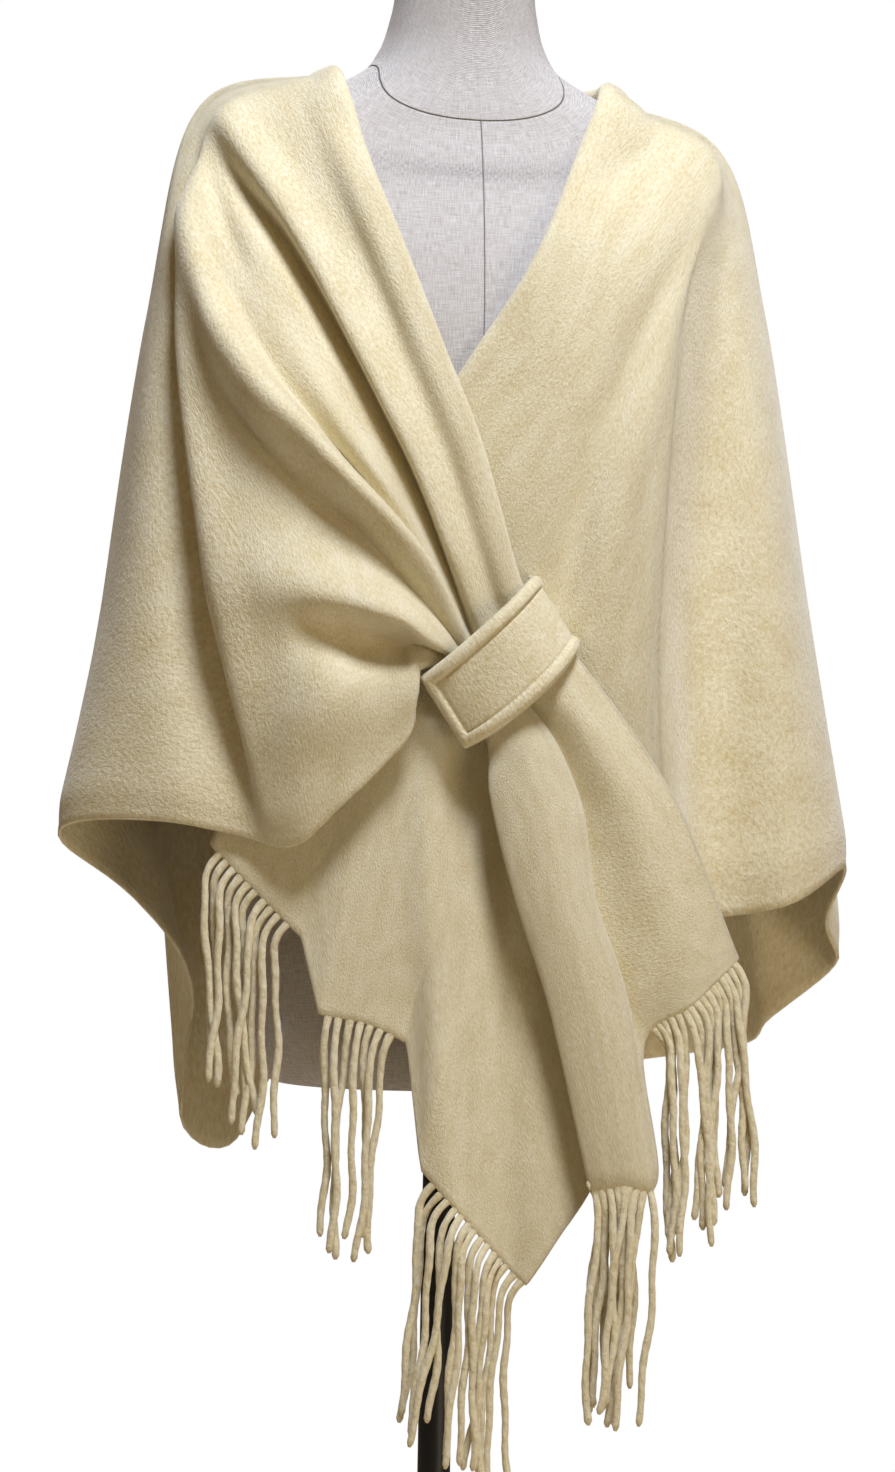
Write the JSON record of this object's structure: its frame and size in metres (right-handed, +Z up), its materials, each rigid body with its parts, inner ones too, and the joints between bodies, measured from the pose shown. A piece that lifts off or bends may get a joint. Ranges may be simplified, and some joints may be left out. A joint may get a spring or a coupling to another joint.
{
  "type": "fringed poncho shawl on dress form stand",
  "caption": "Fringed shawl wrap worn as a poncho, one front gathered through a sewn strap loop, on a limbless dress form with a round pole and a flat round base.",
  "frame": {"origin": "centre of the stand base's underside, on the pole's axis", "axes": "+Z up along the pole, -Y the way the form faces, +X the wearer's left"},
  "size_m": [0.6004, 0.38, 1.5533],
  "materials": {
    "brushed_wool": "brushed and felted, soft nap",
    "wool_fringe": "twisted, slightly fuzzy",
    "linen_cover": "plain woven linen, stretched",
    "black_cap": "satin",
    "black_metal": "powder coated, satin"
  },
  "bodies": {
    "root": {"left_front_panel": "brushed_wool", "back_panel": "brushed_wool", "right_front_panel": "brushed_wool", "gathered_tail": "brushed_wool", "strap_loop": "brushed_wool", "left_front_fringe": "wool_fringe", "tail_fringe": "wool_fringe", "dress_form": "linen_cover", "neck_cap": "black_cap", "stand_pole": "black_metal", "stand_base": "black_metal"}
  },
  "joints": []
}
